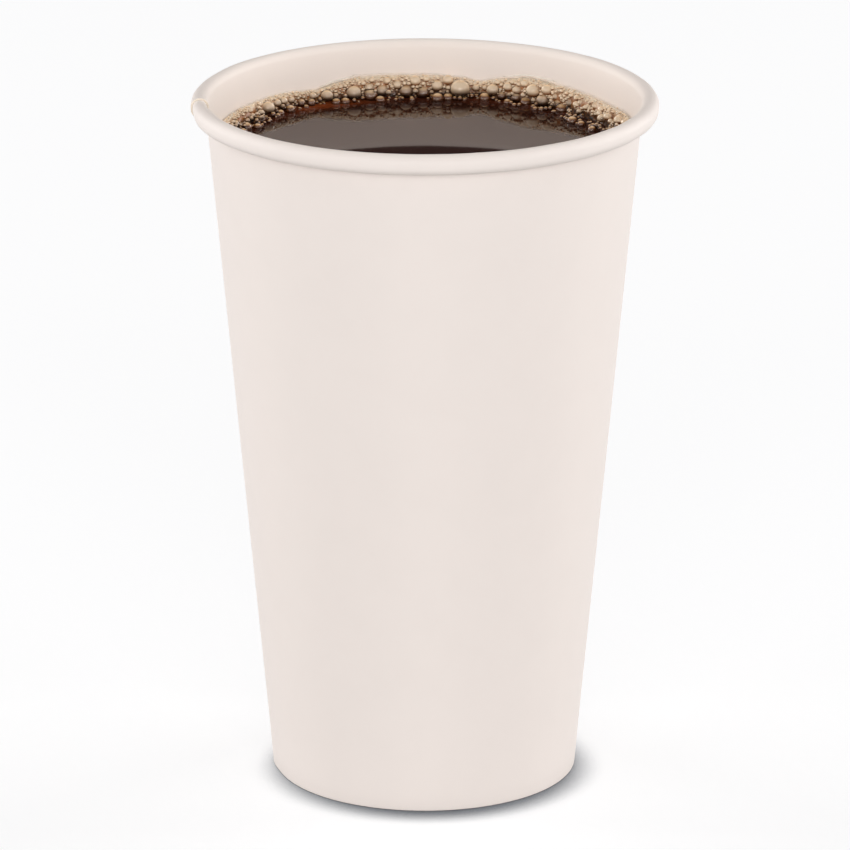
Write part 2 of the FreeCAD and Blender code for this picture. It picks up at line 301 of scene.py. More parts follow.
@dataclass(frozen=True)
class FilmFinish:
    """Wet bubbles: painted shade at the coffee-brown foot, a painted reflection and highlight on
    top, painted shade in the crevices, and paler towards the top of the froth.
    """

    # Painted light: each bubble is dark at its foot and pale at its crown, painted shade below and
    # a painted reflection of the bright room on top.
    foot: tuple = srgb(18, 6, 2)
    waist: tuple = srgb(108, 56, 21)
    crown: tuple = srgb(236, 180, 116)
    pale_foot: tuple = srgb(146, 88, 42)
    pale_crown: tuple = srgb(255, 228, 194)
    # Painted highlight: a near-white cap on the top of every bubble.
    rim: tuple = srgb(255, 216, 168)
    # Painted shade: near black where bubbles nearly touch, fading higher up the froth.
    painted_crevice_shade: tuple = srgb(26, 9, 3)
    gloss_tint: tuple = srgb(255, 206, 160)
    waist_span: Point = (0.3, 0.74)
    crown_span: Point = (0.74, 0.94)
    pale_span: Point = (0.18, 0.58)
    painted_highlight_span: Point = (0.86, 0.98)
    painted_highlight_share: float = 0.85
    painted_crevice_span: Point = (0.7, 0.0)
    edge_span: Point = (0.3, 0.58)
    level: float = 0.0
    rise: Point = (0.8 * MM, 3.0 * MM)
    calm: Point = (2.0 * MM, 4.4 * MM)
    calm_share: float = 0.85
    clearest: float = 0.78
    roughness: float = 0.12

    def build(self) -> Material:
        """The bubbles' material."""
        shader = Shader("bubble_film")
        height = shader.part(shader.place(), "Z") - self.level
        up = shader.attribute("bubble_height")
        gap = shader.attribute("bubble_gap")
        facing = shader.wired("ShaderNodeLayerWeight", {"Blend": 0.5}, "Facing")
        # Painted shade towards the foot and a painted reflection towards the crown.
        lower = shader.blend(up.step(*self.waist_span), self.foot, self.waist)
        dark = shader.blend(up.step(*self.crown_span), lower, self.crown)
        pale = shader.blend(up.step(*self.pale_span), self.pale_foot, self.pale_crown)
        skin = shader.blend(height.step(*self.rise), dark, pale)
        # Painted shade in the crevices between bubbles, less of it higher up.
        depth = 1 - self.calm_share * height.step(*self.calm)
        crevice_shaded = shader.blend(gap.step(*self.painted_crevice_span) * depth, skin, self.painted_crevice_shade)
        return shader.finish({
            # The painted highlight on each bubble's crown.
            "Base Color": shader.blend(up.step(*self.painted_highlight_span) * self.painted_highlight_share, crevice_shaded, self.rim),
            "Roughness": self.roughness,
            "Alpha": self.clearest + (1 - self.clearest) * facing.step(*self.edge_span),
            "IOR": WATER_IOR,
            "Coat Weight": 1.0,
            "Coat IOR": 1.6,
            "Specular Tint": self.gloss_tint,
            "Coat Roughness": 0.05,
        })


@dataclass(frozen=True)
class FoamFinish:
    """Fine foam: brown at the foot, tan and thinning out up the wall, in places to a near-white
    line painted as the glint of its wet edge.
    """

    low: tuple = srgb(32, 15, 6)
    middle: tuple = srgb(176, 112, 58)
    high: tuple = srgb(255, 236, 206)
    # Painted highlight: the near-white glint along the wet line where the foam ends.
    painted_glint: tuple = srgb(255, 250, 240)
    cell_scale: float = 1700.0
    cell_depth: float = 0.12 * MM
    cell_span: Point = (0.35, 0.8)
    cell_share: float = 0.3
    grain: float = 700.0
    middle_span: Point = (0.1, 0.32)
    high_span: Point = (0.3, 0.6)
    painted_glint_spans: tuple[Point, Point] = ((0.78, 0.82), (0.9, 0.85))
    clear_span: Point = (0.86, 0.4)
    roughness: float = 0.35

    def build(self) -> Material:
        """The fine foam's material."""
        shader = Shader("fine_foam")
        place = shader.place()
        cells = shader.wired("ShaderNodeTexVoronoi", {"Vector": place, "Scale": self.cell_scale},
                             "Distance")
        climb = shader.attribute("foam_climb") + 0.1 * (shader.noise(place, self.grain) - 0.5)
        foot = shader.blend(climb.step(*self.middle_span), self.low, self.middle)
        tone = shader.blend(climb.step(*self.high_span), foot, self.high)
        # The painted glint line, near the top of the foam where it is kept.
        start, end = (climb.step(*span) for span in self.painted_glint_spans)
        line = start * end * shader.attribute("foam_painted_glint")
        celled = shader.blend(cells.step(*self.cell_span) * self.cell_share, tone, self.middle)
        return shader.finish({
            "Base Color": shader.blend(line, celled, self.painted_glint),
            "Roughness": self.roughness,
            "Alpha": climb.step(*self.clear_span) + line * 0.8,
            "Normal": shader.bump(1 - cells, self.cell_depth, 0.6),
        })


def put(name: str, data: bpy.types.ID) -> bpy.types.Object:
    """Add an object with this data to the scene."""
    made = bpy.data.objects.new(name, data)
    bpy.context.scene.collection.objects.link(made)
    return made


def add_piece(name: str, mesh: bpy.types.Mesh, replaced: str) -> None:
    """Put a finished mesh into the scene as a piece, for the node it replaces."""
    piece = put(name, mesh)
    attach(piece, ROOT_BODY)
    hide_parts(replaced)
    LOG.info("%s: %d faces", name, len(mesh.polygons))


def arc_points(centre: Point, radius: float, first: float, last: float, steps: int) -> list[Point]:
    """Points on an arc from the first angle to the last, in radians, both ends included."""
    return [(centre[0] + radius * cos(first + (last - first) * i / steps),
             centre[1] + radius * sin(first + (last - first) * i / steps))
            for i in range(steps + 1)]


def line_points(start: Point, end: Point, steps: int) -> list[Point]:
    """Points between two ends, without the ends."""
    return [(start[0] + (end[0] - start[0]) * i / steps, start[1] + (end[1] - start[1]) * i / steps)
            for i in range(1, steps)]


def bridge(skin: bmesh.types.BMesh, rings: Sequence[list]) -> None:
    """Join each ring of vertices to the next with faces; a ring may be a single vertex."""
    for ring, following in zip(rings, rings[1:]):
        count = max(len(ring), len(following))
        for i in range(count):
            j = (i + 1) % count
            corners = (ring[i % len(ring)], ring[j % len(ring)],
                       following[j % len(following)], following[i % len(following)])
            skin.faces.new(tuple(dict.fromkeys(corners)))


def close(skin: bmesh.types.BMesh, name: str, materials: Iterable[Material],
          hard_angle: float = pi) -> bpy.types.Mesh:
    """Turn a finished skin into a smooth mesh with its normals outwards, and free the skin.

    Edges sharper than the hard angle, in radians, stay sharp.
    """
    bmesh.ops.recalc_face_normals(skin, faces=skin.faces)
    mesh = bpy.data.meshes.new(name)
    skin.to_mesh(mesh)
    skin.free()
    for material in materials:
        mesh.materials.append(material)
    mesh.shade_smooth()
    if hard_angle < pi:
        mesh.set_sharp_from_angle(angle=hard_angle)
    return mesh


@dataclass
class CupShape:
    """The cup's driving sizes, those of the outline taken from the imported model."""

    height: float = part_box("side_wall")[1].z
    rim_radius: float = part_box("side_wall")[1].x
    foot_radius: float = 29.55 * MM
    curl_width: float = 3.45 * MM
    curl_side: float = 0.5 * MM
    tuck_gap: float = 0.15 * MM
    board: float = 0.35 * MM
    foot_corner: float = 0.35 * MM
    skirt_space: float = 0.34 * MM
    disc_top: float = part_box("bottom_disc")[1].z
    disc_corner: float = 0.9 * MM
    margin_gap: float = 0.6 * MM
    coffee_level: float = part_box("coffee")[1].z

    @property
    def roll_radius(self) -> float:
        """Radius of the rolled rim's rounds."""
        return self.curl_width / 2

    @property
    def roll_centre(self) -> Point:
        """Middle of the roll's upper round."""
        return self.rim_radius - self.roll_radius, self.height - self.roll_radius

    @property
    def lean(self) -> float:
        """The wall's angle from upright, in radians: its inner face is tangent to the roll."""
        run = self.roll_centre[0] - self.foot_radius + self.board
        rise = self.roll_centre[1]
        return atan(run / rise) - asin(self.roll_radius / hypot(run, rise))

    def inner_radius(self, height: float) -> float:
        """The wall's inner radius at a height."""
        return self.foot_radius - self.board / cos(self.lean) + height * tan(self.lean)


@dataclass
class SideWall:
    """The cup's one sheet: tapered wall, side lap, rolled rim and the margin folded in at the foot.

    The sheet is swept round as one strip that runs out over its own thickness before the seam and
    passes behind its other end, whose cut edge shows inside the cup and over the rolled rim.
    """

    shape: CupShape
    seam_azimuth: float = 183.4
    lap_width: float = 7.0 * MM
    lap_ramp: float = 10.0 * MM
    glue_gap: float = 0.012 * MM
    steps_round: int = 470
    steps_up: int = 44
    roll_steps: int = 18
    tuck_steps: int = 12
    margin_steps: int = 9
    foot_steps: int = 3
    wall_wave: float = 0.10 * MM
    curl_wave: float = 0.12 * MM
    wave_bias: float = 0.35
    slow_waves: tuple[float, float, float] = (1.3, 14.0, 3.1)
    quick_waves: Point = (7.0, 60.0)
    sink_waves: float = 4.3
    sink_share: float = 0.4
    roll_span: Point = (7 * MM, 4 * MM)
    calm_foot: float = 9 * MM
    knurl_count: int = 94
    knurl_depth: float = 0.10 * MM
    hard_angle: float = radians(40)

    def section(self, offset: float) -> tuple[list[Place], list[Place]]:
        """The sheet's outline at one place round the cup.

        Args:
            offset: How far the sheet is moved outwards over the sheet below.

        Returns:
            Its two faces from the margin's top to the roll's end, with as many places each: first
            the one that is outside on the wall, then the one that is inside.
        """
        cup = self.shape
        lean = cup.lean
        across, high = cup.roll_centre
        low = high - cup.curl_side
        big = cup.roll_radius - offset
        small = big - cup.board
        foot = cup.foot_radius + offset / cos(lean)
        inside = foot - cup.board / cos(lean)
        margin_out = inside - (cup.skirt_space + 2 * offset) / cos(lean)
        margin_in = margin_out - cup.board / cos(lean)
        margin_top = cup.disc_top - cup.disc_corner - cup.margin_gap
        corner = cup.foot_corner
        tuck = pi - lean + acos((small - cup.tuck_gap) / big)

        def on(base: float, height: float) -> Point:
            """A point on the line that leans with the wall."""
            return base + height * tan(lean), height

        def same(points: Iterable[Point], wave: float = 0.0, knurl: float = 0.0) -> list[Place]:
            """Places that share a wave and a knurl."""
            return [(radius, height, wave, knurl) for radius, height in points]

        def roll(radius: float) -> list[Point]:
            """The roll and its tucked end, at one radius."""
            return (arc_points((across, high), radius, pi - lean, 0, self.roll_steps)
                    + arc_points((across, low), radius, 0, tuck - 2 * pi, self.tuck_steps))

        toe_in = arc_points((on(margin_in, corner)[0] + corner / cos(lean), corner), corner,
                            pi - lean, pi * 3 / 2, self.foot_steps)
        toe_out = arc_points((on(foot, corner)[0] - corner / cos(lean), corner), corner,
                             -pi / 2, -lean, self.foot_steps)
        roll_in, roll_out = roll(small), roll(big)
        fold = on(inside, cup.board)
        step_in = on(margin_out, cup.board)
        flat = [step_in] + line_points(step_in, fold, 2 * self.foot_steps + 1) + [fold]

        top_in, top_out = on(margin_in, margin_top), on(margin_out, margin_top)
        outer = (same([top_in])
                 + same(line_points(top_in, toe_in[0], self.margin_steps), knurl=1.0)
                 + same(toe_in + toe_out)
                 + same(line_points(toe_out[-1], roll_in[0], self.steps_up) + roll_in, wave=1.0))
        inner = (same([top_out] + line_points(top_out, step_in, self.margin_steps) + flat)
                 + same(line_points(fold, roll_out[0], self.steps_up) + roll_out, wave=1.0))
        return outer, inner

    def strip_offset(self, along: float, lap: float, ramp: float) -> float:
        """How far the sheet stands out at an angle from its outer end, in degrees."""
        full = self.shape.board + self.glue_gap
        return full * (1 - smooth_step(lap, lap + ramp, along))

    def move(self, radius: float, height: float, wave: float, knurl: float,
             azimuth: float) -> Vector:
        """Place one point of the section, with the small unevenness of a real sheet.

        The waves only move inwards, so the cup stays inside its measured outline.
        """
        cup = self.shape
        direction = Vector((cos(azimuth), sin(azimuth), 0))

        def waves(round_scale: float, up_scale: float, shift: float = 0.0) -> float:
            """Noise on the sheet, mostly below zero."""
            spot = direction * round_scale + Vector((shift, 0, height * up_scale))
            return noise.noise(spot) - self.wave_bias

        slow, quick = waves(*self.slow_waves), waves(*self.quick_waves)
        rolled = smooth_step(*(cup.height - down for down in self.roll_span), height)
        drop = self.wall_wave * slow * (1 - rolled) + self.curl_wave * quick * rolled
        calm = smooth_step(0, self.calm_foot, height)
        ridge = self.knurl_depth * knurl * (0.5 + 0.5 * cos(self.knurl_count * azimuth))
        away = radius + min(drop, 0.0) * wave * calm + ridge
        lift = noise.noise(direction * self.sink_waves) - 0.5
        sunk = self.sink_share * self.curl_wave * lift * rolled * wave
        return direction * away + Vector((0, 0, height + min(sunk, 0.0)))

    def build(self, board: Material, cut: Material) -> None:
        """Make the sheet, with one material on its coated faces and one on its two cut ends."""
        per_metre = 180 / (pi * self.shape.roll_centre[0])
        lap, ramp = self.lap_width * per_metre, self.lap_ramp * per_metre
        whole, first = 360 + lap, self.seam_azimuth - lap
        sheet = bmesh.new()
        lined = sheet.verts.layers.float.new("lined_side")
        rings = []
        for step in range(self.steps_round + 1):
            along = whole * step / self.steps_round
            azimuth = radians(first + along)
            outer, inner = self.section(self.strip_offset(along, lap, ramp))
            rings.append([sheet.verts.new(self.move(*place, azimuth))
                          for place in outer + inner[::-1]])
            rolled = len(inner) - self.roll_steps - self.tuck_steps - 2
            # The lined side, which carries the board's painted light, fades out over the roll.
            for number, vertex in enumerate(reversed(rings[-1][len(outer):])):
                vertex[lined] = 1 - smooth_step(rolled, rolled + self.roll_steps, number)
        bridge(sheet, rings)
        for ring in (rings[0], rings[-1]):
            for i in range(len(ring) // 2 - 1):
                cap = sheet.faces.new((ring[i], ring[i + 1], ring[-i - 2], ring[-i - 1]))
                cap.material_index = 1
        mesh = close(sheet, "cup_wall", (board, cut), self.hard_angle)
        add_piece("cup_wall", mesh, "side_wall")


def revolve(name: str, profile: Sequence[Point], steps: int, material: Material,
            hard_angle: float) -> bpy.types.Mesh:
    """Turn a profile round the Z axis into a closed mesh.

    The profile's points are (radius, height), from the axis at the bottom to the axis at the top.
    """
    turned = bmesh.new()
    turns = [2 * pi * i / steps for i in range(steps)]
    rings = [[turned.verts.new((radius * cos(turn), radius * sin(turn), height))
              for turn in (turns if radius else turns[:1])] for radius, height in profile]
    bridge(turned, rings)
    return close(turned, name, (material,), hard_angle)


@dataclass
class BottomDisc:
    """The disc of board that closes the cup, with its turned-down skirt, slightly dished."""

    shape: CupShape
    board: float = 0.3 * MM
    gap: float = 0.02 * MM
    dish: float = 0.25 * MM
    steps_round: int = 160
    steps_across: int = 14
    hard_angle: float = radians(40)

    def build(self, board: Material) -> None:
        """Make the disc and give it the cup board's finish."""
        cup = self.shape
        lean = cup.lean
        low = cup.board + self.gap
        reach = cup.inner_radius(low) - self.gap
        centre_height = cup.disc_top - cup.disc_corner
        side = cup.inner_radius(centre_height) - self.gap
        middle = (side - cup.disc_corner, centre_height)

        def dished(top: float, edge: float) -> list[Point]:
            """Points from the axis to the edge of a face that sags a little in the middle."""
            count = self.steps_across
            return [(edge * i / count, top - self.dish * (1 - (i / count) ** 2))
                    for i in range(count)]

        under = dished(cup.disc_top - self.board, middle[0])
        inner = arc_points(middle, cup.disc_corner - self.board, pi / 2, -lean, 6)
        outer = arc_points(middle, cup.disc_corner, -lean, pi / 2, 8)
        top = list(reversed(dished(cup.disc_top, middle[0])))
        profile = under + inner + [(reach - self.board, low), (reach, low)] + outer + top
        mesh = revolve("cup_bottom", profile, self.steps_round, board, self.hard_angle)
        add_piece("cup_bottom", mesh, "bottom_disc")


@dataclass
class Coffee:
    """The drink, with the rise of its surface where it wets the wall."""

    shape: CupShape
    gap: float = 0.06 * MM
    rise: float = 0.75 * MM
    rise_reach: float = 2.6 * MM
    steps_round: int = 180
    rings: int = 16
    flat_rings: int = 6
    hard_angle: float = radians(50)

    def build(self, surface: Material) -> None:
        """Make the coffee, bottom, side and top."""
        cup = self.shape
        bottom = cup.disc_top + self.gap
        level = cup.coffee_level
        edge = cup.inner_radius(level + self.rise) - self.gap
        reach = 3 * self.rise_reach
        profile: list[Point] = [(0, bottom), (cup.inner_radius(bottom) - self.gap, bottom)]
        profile.append((edge, level + self.rise))
        for i in range(1, self.rings):
            away = reach * i / self.rings
            profile.append((edge - away, level + self.rise * exp(-away / self.rise_reach * 2)))
        profile += [((edge - reach) * share / self.flat_rings, level)
                    for share in range(self.flat_rings, 0, -1)] + [(0, level)]
        mesh = revolve("coffee_drink", profile, self.steps_round, surface, self.hard_angle)
        add_piece("coffee_drink", mesh, "coffee")


@dataclass
class Viewpoint:
    """The photograph's camera, and the rays through its pixels."""

    size: int = 850
    focal_pixels: float = 6935.7
    distance: float = 1351.4 * MM
    elevation: float = radians(17.641)
    aim: Vector = field(default_factory=lambda: Vector((0, 0, 69.17 * MM)))
    sensor: float = 36.0

    @property
    def back(self) -> Vector:
        """Direction from the aim to the camera."""
        return Vector((0, -cos(self.elevation), sin(self.elevation)))

    @property
    def eye(self) -> Vector:
        """Where the camera stands."""
        return self.aim + self.back * self.distance

    def ray(self, column: float, row: float) -> Vector:
        """Direction through a pixel of the photograph."""
        across = Vector((1, 0, 0))
        up = self.back.cross(across)
        half = self.size / 2
        return (-self.back * self.focal_pixels + across * (column - half)
                + up * (half - row)).normalized()

    def scale(self, point: Vector) -> float:
        """Metres to a pixel at a point."""
        return (self.eye - point).dot(self.back) / self.focal_pixels

    def build(self) -> None:
        """Make the camera and use it."""
        data = bpy.data.cameras.new("photo_camera")
        data.sensor_width = self.sensor
        data.lens = self.focal_pixels / self.size * self.sensor
        data.clip_start, data.clip_end = 0.05, 20.0
        camera = put("photo_camera", data)
        camera.location = self.eye
        camera.rotation_euler = (-self.back).to_track_quat("-Z", "Y").to_euler()
        bpy.context.scene.camera = camera


# The bubbles that show best: column, row and width in the photograph, in its pixels
PHOTO_BUBBLES = (
    (230, 120, 5), (242, 119, 7), (247, 115, 6), (252, 122, 6), (255, 110, 7), (266, 118, 6),
    (268, 108, 14), (264, 103, 6), (277, 103, 9), (287, 105, 7), (291, 100, 8), (301, 103, 9),
    (311, 103, 10), (313, 96, 8), (327, 96, 13), (354, 93, 16), (370, 96, 16), (369, 88, 11),
    (382, 91, 13), (387, 81, 9), (394, 94, 8), (397, 85, 11), (406, 92, 15), (415, 81, 12),
    (423, 93, 15), (426, 79, 8), (437, 86, 13), (448, 80, 11), (460, 89, 20), (476, 88, 8),
    (485, 88, 6), (493, 90, 13), (502, 96, 10), (508, 87, 10), (517, 90, 10), (516, 98, 12),
    (526, 103, 13), (525, 84, 9), (533, 91, 15), (547, 90, 12), (543, 101, 15), (558, 105, 11),
    (562, 110, 14), (556, 97, 8), (570, 103, 10), (582, 103, 10), (596, 106, 9), (574, 112, 7),
    (585, 117, 12), (595, 119, 10), (605, 124, 11), (613, 117, 8), (592, 130, 9),
)


class BubbleStore:
    """Every bubble so far: rows of x, y, z and radius, quick to measure against."""

    def __init__(self, room: int = 8000) -> None:
        self.rows = np.zeros((room, 4))
        self.count = 0

    def add(self, middle: Vector, radius: float) -> None:
        """Keep one more bubble."""
        self.rows[self.count] = (*middle, radius)
        self.count += 1

    def has_room(self, middle: Vector, radius: float, overlap: float) -> bool:
        """Whether a bubble keeps its distance, a share of both radii, from every other."""
        kept = self.rows[:self.count]
        away = np.linalg.norm(kept[:, :3] - np.array(middle), axis=1)
        return bool(np.all(away > overlap * (kept[:, 3] + radius)))

    def hides(self, middle: Vector, radius: float, eye: Vector, shown: int) -> bool:
        """Whether a bubble would cover one of the first bubbles, seen from the eye."""
        kept = self.rows[:shown, :3] - np.array(eye)
        sight = np.array(middle - eye)
        away = np.linalg.norm(sight)
        along = kept @ (sight / away)
        aside = np.linalg.norm(kept - along[:, None] * (sight / away), axis=1)
        return bool(np.any((along > away) & (aside < 0.8 * self.rows[:shown, 3] + 0.5 * radius)))

    def crevice(self, number: int, places: np.ndarray, reach: float) -> np.ndarray:
        """How near places on a bubble's skin are to any other bubble's skin.

        Args:
            number: The bubble's own number.
            places: Points on its skin, one to a row.
            reach: Distance that counts as far away.

        Returns:
            Distances in metres, at most the reach, and below zero inside another bubble.
        """
        own = self.rows[number]
        kept = np.delete(self.rows[:self.count], number, axis=0)
        spans = np.linalg.norm(kept[:, :3] - own[:3], axis=1) - kept[:, 3] - own[3]
        close = kept[spans < reach]
        if not len(close):
            return np.full(len(places), reach)
        gaps = np.linalg.norm(places[:, None, :] - close[None, :, :3], axis=2) - close[None, :, 3]
        return np.minimum(gaps.min(axis=1), reach)


@dataclass(frozen=True)
class BubbleRange:
    """Scattered bubbles of one range of sizes.

    The radii and the heights, as shares of the froth's height, are given as smallest and largest.
    The overlap is how far apart two middles stay, as a share of their radii added up.
    """

    name: str
    tries: int
    radii: Point
    heights: Point
    overlap: float
    detail: int


@dataclass
class FrothPlan:
    """Where the froth lies round the wall, and every bubble in it.

    The outline gives, by azimuth, how far the froth reaches in from the wall and up it, and
    step_back is how far a bubble moves towards the eye at a time. Both are in millimetres.
    """

    shape: CupShape
    viewpoint: Viewpoint
    wall_gap: float = 0.06 * MM
    float_share: float = 0.06
    step_back: float = 0.05
    bank_power: float = 1.6
    inset_power: float = 0.35
    sink: float = 0.3
    lowest: float = 0.2
    outline: tuple = (
        (-180, 2.6, 2.8), (-135, 2.2, 2.6), (-90, 2.0, 2.4), (-45, 2.6, 2.8), (0, 3.4, 3.6),
        (15, 4.6, 4.4), (28, 5.4, 4.2), (38, 5.8, 4.5), (47, 4.2, 4.8), (60, 4.0, 5.2),
        (68, 2.6, 4.4), (75, 1.6, 3.5), (80, 3.8, 4.1), (90, 4.0, 4.5), (108, 4.0, 4.7),
        (114, 2.8, 4.0), (122, 1.6, 3.0), (135, 2.4, 3.6), (150, 4.6, 3.5), (165, 3.4, 3.2),
        (180, 2.6, 2.8),
    )
    store: BubbleStore = field(default_factory=BubbleStore)

    def reach(self, azimuth: float) -> Point:
        """How far the froth reaches in and up at an azimuth, in metres."""
        turn = (degrees(azimuth) + 180) % 360 - 180
        for (a, in_a, up_a), (b, in_b, up_b) in zip(self.outline, self.outline[1:]):
            if a <= turn <= b:
                share = smooth_step(a, b, turn)
                return (in_a + (in_b - in_a) * share) * MM, (up_a + (up_b - up_a) * share) * MM
        return self.outline[0][1] * MM, self.outline[0][2] * MM

    def clearance(self, middle: Vector, radius: float) -> float:
        """How far a bubble stays clear of the wall; negative where it would cut it."""
        cup = self.shape
        room = cup.inner_radius(middle.z) - hypot(middle.x, middle.y)
        return room * cos(cup.lean) - radius - self.wall_gap

    def place_by_photo(self, column: float, row: float, width: float) -> None:
        """Put a bubble where the photograph shows it, on the coffee or back against the wall."""
        eye = self.viewpoint.eye
        ray = self.viewpoint.ray(column, row)
        level = self.shape.coffee_level
        near = eye + ray * ((level + 3 * MM - eye.z) / ray.z)
        radius = width / 2 * self.viewpoint.scale(near)
        floating = level + self.float_share * radius
        middle = eye + ray * ((floating - eye.z) / ray.z)
        while self.clearance(middle, radius) < 0:
            middle = middle - ray * self.step_back * MM
        self.store.add(middle, radius)

    def scatter(self, sizes: BubbleRange, chance: random.Random) -> None:
        """Fill the room that is left with bubbles of one range of sizes."""
        cup, power = self.shape, self.bank_power
        for _ in range(sizes.tries):
            azimuth = chance.uniform(-pi, pi)
            inward, upward = self.reach(azimuth)
            radius = sizes.radii[0] + (sizes.radii[1] - sizes.radii[0]) * chance.random() ** 2
            share = chance.uniform(*sizes.heights)
            bank = (1 - share ** power) ** (1 / power)
            height = cup.coffee_level + max(share * upward - radius * self.sink,
                                            self.lowest * radius)
            nearest = (radius + self.wall_gap) / cos(cup.lean)
            inset = max(nearest, inward * bank * chance.random() ** self.inset_power)
            away = cup.inner_radius(height) - inset
            middle = Vector((away * cos(azimuth), away * sin(azimuth), height))
            if (self.clearance(middle, radius) >= 0
                    and self.store.has_room(middle, radius, sizes.overlap)
                    and not self.store.hides(middle, radius, self.viewpoint.eye,
                                             len(PHOTO_BUBBLES))):
                self.store.add(middle, radius)


@dataclass
class FineFoam:
    """The bank of fine foam behind and under the bubbles, thin at its top edge up the wall."""

    plan: FrothPlan
    share_in: float = 0.34
    share_up: float = 1.1
    # Azimuth ranges, in degrees, that carry the painted glint line.
    painted_glint_ranges: tuple = ((50, 69), (109, 122), (196, 214), (300, 322))
    painted_glint_fade: float = 3.0
    bumps: float = 0.25
    bump_waves: Point = (60.0, 6.0)
    fall: float = 1.3
    skin: float = 0.12 * MM
    back_gap: float = 0.05 * MM
    back_shares: tuple = (0.66, 0.33, 0.0)
    steps_round: int = 420
    steps_up: int = 18

    def build(self, foam: Material) -> None:
        """Make the bank as a closed ring: its face from the coffee up to the wall, and its back."""
        cup = self.plan.shape
        bank = bmesh.new()
        climb = bank.verts.layers.float.new("foam_climb")
        painted_glint = bank.verts.layers.float.new("foam_painted_glint")
        rings = []
        for step in range(self.steps_round):
            azimuth = 2 * pi * step / self.steps_round
            inward, upward = self.plan.reach(azimuth)
            direction = Vector((cos(azimuth), sin(azimuth), 0))
            left = self.painted_glint_at(degrees(azimuth))

            def add_vertex(rise: float, inset: float, share: float) -> bmesh.types.BMVert:
                """Add a vertex at a share of the height and an inset from the wall."""
                height = cup.coffee_level + self.share_up * upward * rise
                away = cup.inner_radius(height) - inset
                vertex = bank.verts.new(direction * away + Vector((0, 0, height)))
                vertex[climb], vertex[painted_glint] = share, left
                return vertex

            ring = []
            for i in range(self.steps_up + 1):
                share = i / self.steps_up
                turn = share * pi / 2
                spot = direction * self.bump_waves[0] + Vector((0, 0, share * self.bump_waves[1]))
                bumpy = 1 + self.bumps * noise.noise(spot)
                inset = self.share_in * inward * cos(turn) ** self.fall * bumpy + self.skin
                ring.append(add_vertex(sin(turn), inset, share))
            ring += [add_vertex(share, self.back_gap, share) for share in self.back_shares]
            rings.append(ring)
        bridge(bank, rings + rings[:1])
        add_piece("froth_foam", close(bank, "froth_foam", (foam,)), "froth")

    def painted_glint_at(self, turn: float) -> float:
        """How much of the painted glint line is left at an azimuth, in degrees."""
        fade = self.painted_glint_fade
        return max(smooth_step(first, first + fade, turn) * smooth_step(last, last - fade, turn)
                   for first, last in self.painted_glint_ranges)


class BubbleTree(Tree):
    """A geometry tree that puts a round bubble on every point of a plan."""

    def __init__(self, name: str) -> None:
        super().__init__(bpy.data.node_groups.new(name, "GeometryNodeTree"))
        face = self.tree.interface
        face.new_socket("Geometry", in_out="INPUT", socket_type="NodeSocketGeometry")
        self.detail, self.squash, self.seed, self.film = (
            face.new_socket(label, in_out="INPUT", socket_type="NodeSocket" + kind).identifier
            for label, kind in (("Detail", "Int"), ("Squash", "Float"), ("Seed", "Int"),
                                ("Film", "Material")))
        face.new_socket("Geometry", in_out="OUTPUT", socket_type="NodeSocketGeometry")
        self._build()

    def _build(self) -> None:
        """Points, a round on each, its height kept as an attribute, then plain faces."""
        given = self.node("NodeGroupInput")
        points = self.wired("GeometryNodeMeshToPoints", {"Mesh": self.wire(given, "Geometry")})
        radius = self.wired("GeometryNodeInputNamedAttribute", {"Name": "bubble_radius"},
                            data_type="FLOAT")
        ball = self.wired("GeometryNodeMeshIcoSphere",
                          {"Radius": 1.0, "Subdivisions": self.wire(given, "Detail")}, "Mesh")
        place = self.wired("GeometryNodeInputPosition")
        high = self.wired("ShaderNodeSeparateXYZ", {0: place}, "Z")
        height = self.wired("ShaderNodeMapRange",
                            {"Value": high, "From Min": -1.0, "From Max": 1.0})
        kept = self.wired("GeometryNodeStoreNamedAttribute",
                          {"Geometry": ball, "Name": "bubble_height", "Value": height},
                          data_type="FLOAT", domain="POINT")
        smooth = self.wired("GeometryNodeSetShadeSmooth", {"Geometry": kept})
        spin = self.wired("FunctionNodeRandomValue",
                          {"Max": tau, "Seed": self.wire(given, "Seed")}, 1,
                          data_type="FLOAT")
        turn = self.wired("ShaderNodeCombineXYZ", {"Z": spin})
        form = self.wired("ShaderNodeCombineXYZ",
                          {"X": 1.0, "Y": 1.0, "Z": self.wire(given, "Squash")})
        scale = self.wired("ShaderNodeVectorMath", {"Vector": form, "Scale": radius},
                           operation="SCALE")
        rounds = self.wired("GeometryNodeInstanceOnPoints",
                            {"Points": points, "Instance": smooth, "Rotation": turn,
                             "Scale": scale})
        real = self.wired("GeometryNodeRealizeInstances", {"Geometry": rounds})
        dressed = self.wired("GeometryNodeSetMaterial",
                             {"Geometry": real, "Material": self.wire(given, "Film")})
        self.node("NodeGroupOutput", {"Geometry": dressed})

    def grow(self, name: str, bubbles: np.ndarray, detail: int, squash: float,
             film: Material) -> bpy.types.Mesh:
        """Grow these bubbles, rows of x, y, z and radius, and return their plain mesh.

        The detail is the round's subdivisions, and the squash its height over its width.
        """
        seeds = bpy.data.meshes.new(name + "_seeds")
        seeds.from_pydata(bubbles[:, :3].tolist(), [], [])
        radii = seeds.attributes.new("bubble_radius", "FLOAT", "POINT")
        radii.data.foreach_set("value", bubbles[:, 3].tolist())
        holder = put(name + "_seeds", seeds)
        grower = holder.modifiers.new("grow", "NODES")
        grower.node_group = self.tree
        for identifier, value in ((self.detail, detail), (self.squash, squash),
                                  (self.seed, len(bubbles)), (self.film, film)):
            grower[identifier] = value
        seen = holder.evaluated_get(bpy.context.evaluated_depsgraph_get())
        mesh = bpy.data.meshes.new_from_object(seen)
        mesh.name = name
        bpy.data.objects.remove(holder)
        return mesh


